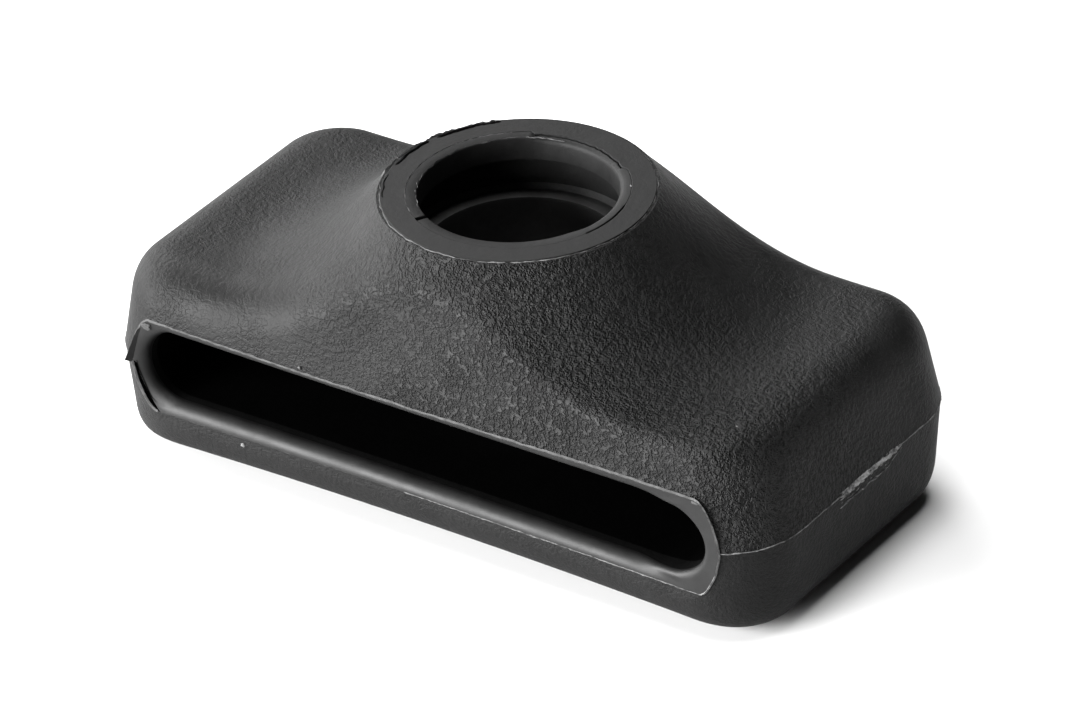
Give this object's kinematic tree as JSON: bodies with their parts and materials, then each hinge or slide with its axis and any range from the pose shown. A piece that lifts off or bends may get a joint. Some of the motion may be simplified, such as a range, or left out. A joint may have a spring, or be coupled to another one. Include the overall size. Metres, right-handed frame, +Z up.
{
  "type": "strap guide with round collar",
  "caption": "Small black moulded strap guide: a flat through slot under a saddle that rises to a round collar with a stepped, grooved bore.",
  "frame": {"origin": "centre of the flat base", "axes": "+X along the strap slot, to the right seen from the front mouth; -Y out of the front mouth; +Z up through the collar's bore"},
  "size_m": [0.06, 0.0282, 0.0236],
  "materials": {
    "grained_rubber": "matt, fine spark-eroded grain",
    "plain_rubber": "matt, nearly smooth",
    "smooth_rubber": "smooth, soft sheen"
  },
  "bodies": {
    "root": {"upper_shell": "grained_rubber", "lower_shell": "plain_rubber", "slot_liner": "smooth_rubber", "collar_bush": "smooth_rubber", "retaining_ring": "smooth_rubber"}
  },
  "joints": []
}
